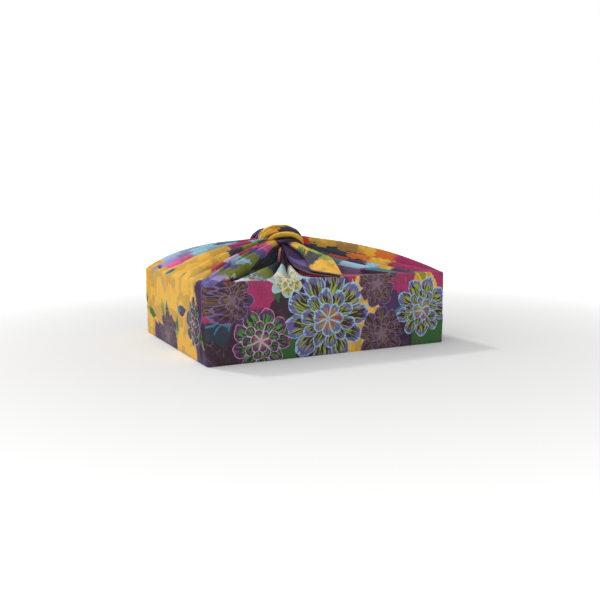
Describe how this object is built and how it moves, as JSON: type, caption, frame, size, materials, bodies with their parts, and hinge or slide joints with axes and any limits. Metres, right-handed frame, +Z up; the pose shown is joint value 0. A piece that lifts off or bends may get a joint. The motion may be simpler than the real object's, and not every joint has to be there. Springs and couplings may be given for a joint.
{
  "type": "furoshiki wrap",
  "caption": "Square cloth wrapped round a flat box, its sides pleated up to a raised knot with a short folded end hanging to the front and to the back.",
  "frame": {"origin": "middle of the flat base that the bundle rests on", "axes": "+X along the long front face, +Y from the front face to the back, +Z up to the knot"},
  "size_m": [0.35, 0.2719, 0.1639],
  "materials": {
    "cloth": "matt printed cotton, many-coloured flowers on a mustard ground"
  },
  "bodies": {
    "root": {"wrap": "cloth"}
  },
  "joints": []
}
